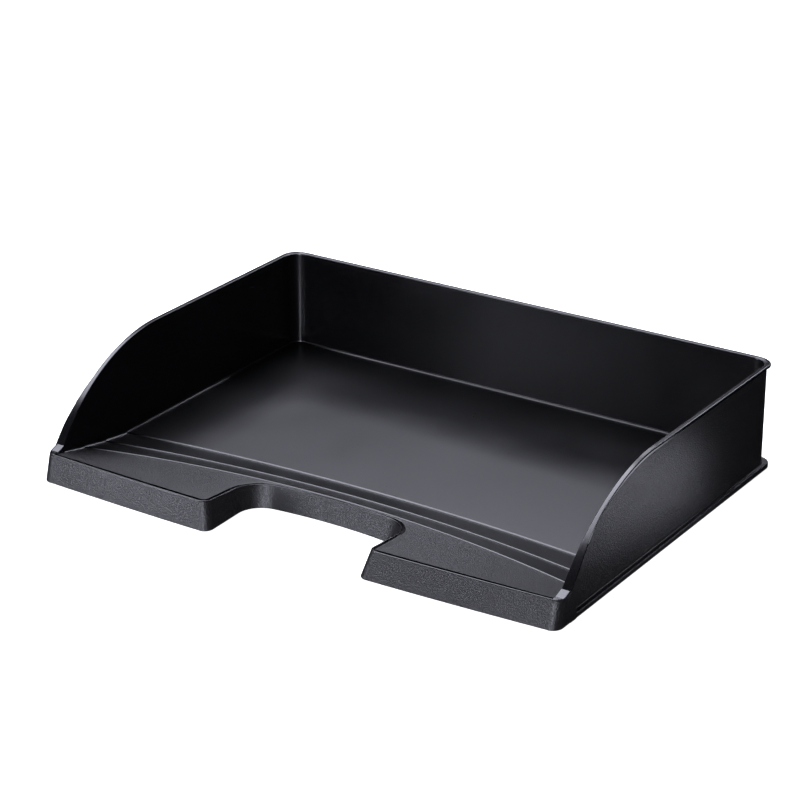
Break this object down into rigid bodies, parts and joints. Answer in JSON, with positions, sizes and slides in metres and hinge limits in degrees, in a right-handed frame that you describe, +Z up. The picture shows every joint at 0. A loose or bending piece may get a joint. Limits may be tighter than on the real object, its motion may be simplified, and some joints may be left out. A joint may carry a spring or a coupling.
{
  "type": "letter tray",
  "caption": "Open-fronted letter tray with three walls, side walls curving down to a ramped front ledge, and a thumb cut-out in the ledge.",
  "frame": {"origin": "middle of the tray's footprint, on the plane it stands on", "axes": "+X across the tray to the right as seen from its open front, +Y from the open front to the back wall, +Z up"},
  "size_m": [0.363, 0.273, 0.07],
  "materials": {
    "grained_black": "fine-grained, low sheen",
    "satin_black": "satin"
  },
  "bodies": {
    "root": {"floor_panel": "satin_black", "ramp_band_rear": "satin_black", "ramp_band_front": "satin_black", "ledge_left": "grained_black", "ledge_centre": "grained_black", "ledge_right": "grained_black", "fascia_left": "grained_black", "fascia_right": "grained_black", "cutout_side_left": "grained_black", "cutout_back": "grained_black", "cutout_side_right": "grained_black", "corner_block_left": "grained_black", "corner_block_right": "grained_black", "side_wall_left": "grained_black", "side_wall_right": "grained_black", "back_wall": "grained_black", "rear_corner_left": "grained_black", "rear_corner_right": "grained_black", "rim_left": "grained_black", "rim_back": "grained_black", "rim_right": "grained_black", "base_rail_left": "grained_black", "base_rail_back": "grained_black", "base_rail_right": "grained_black"}
  },
  "joints": []
}
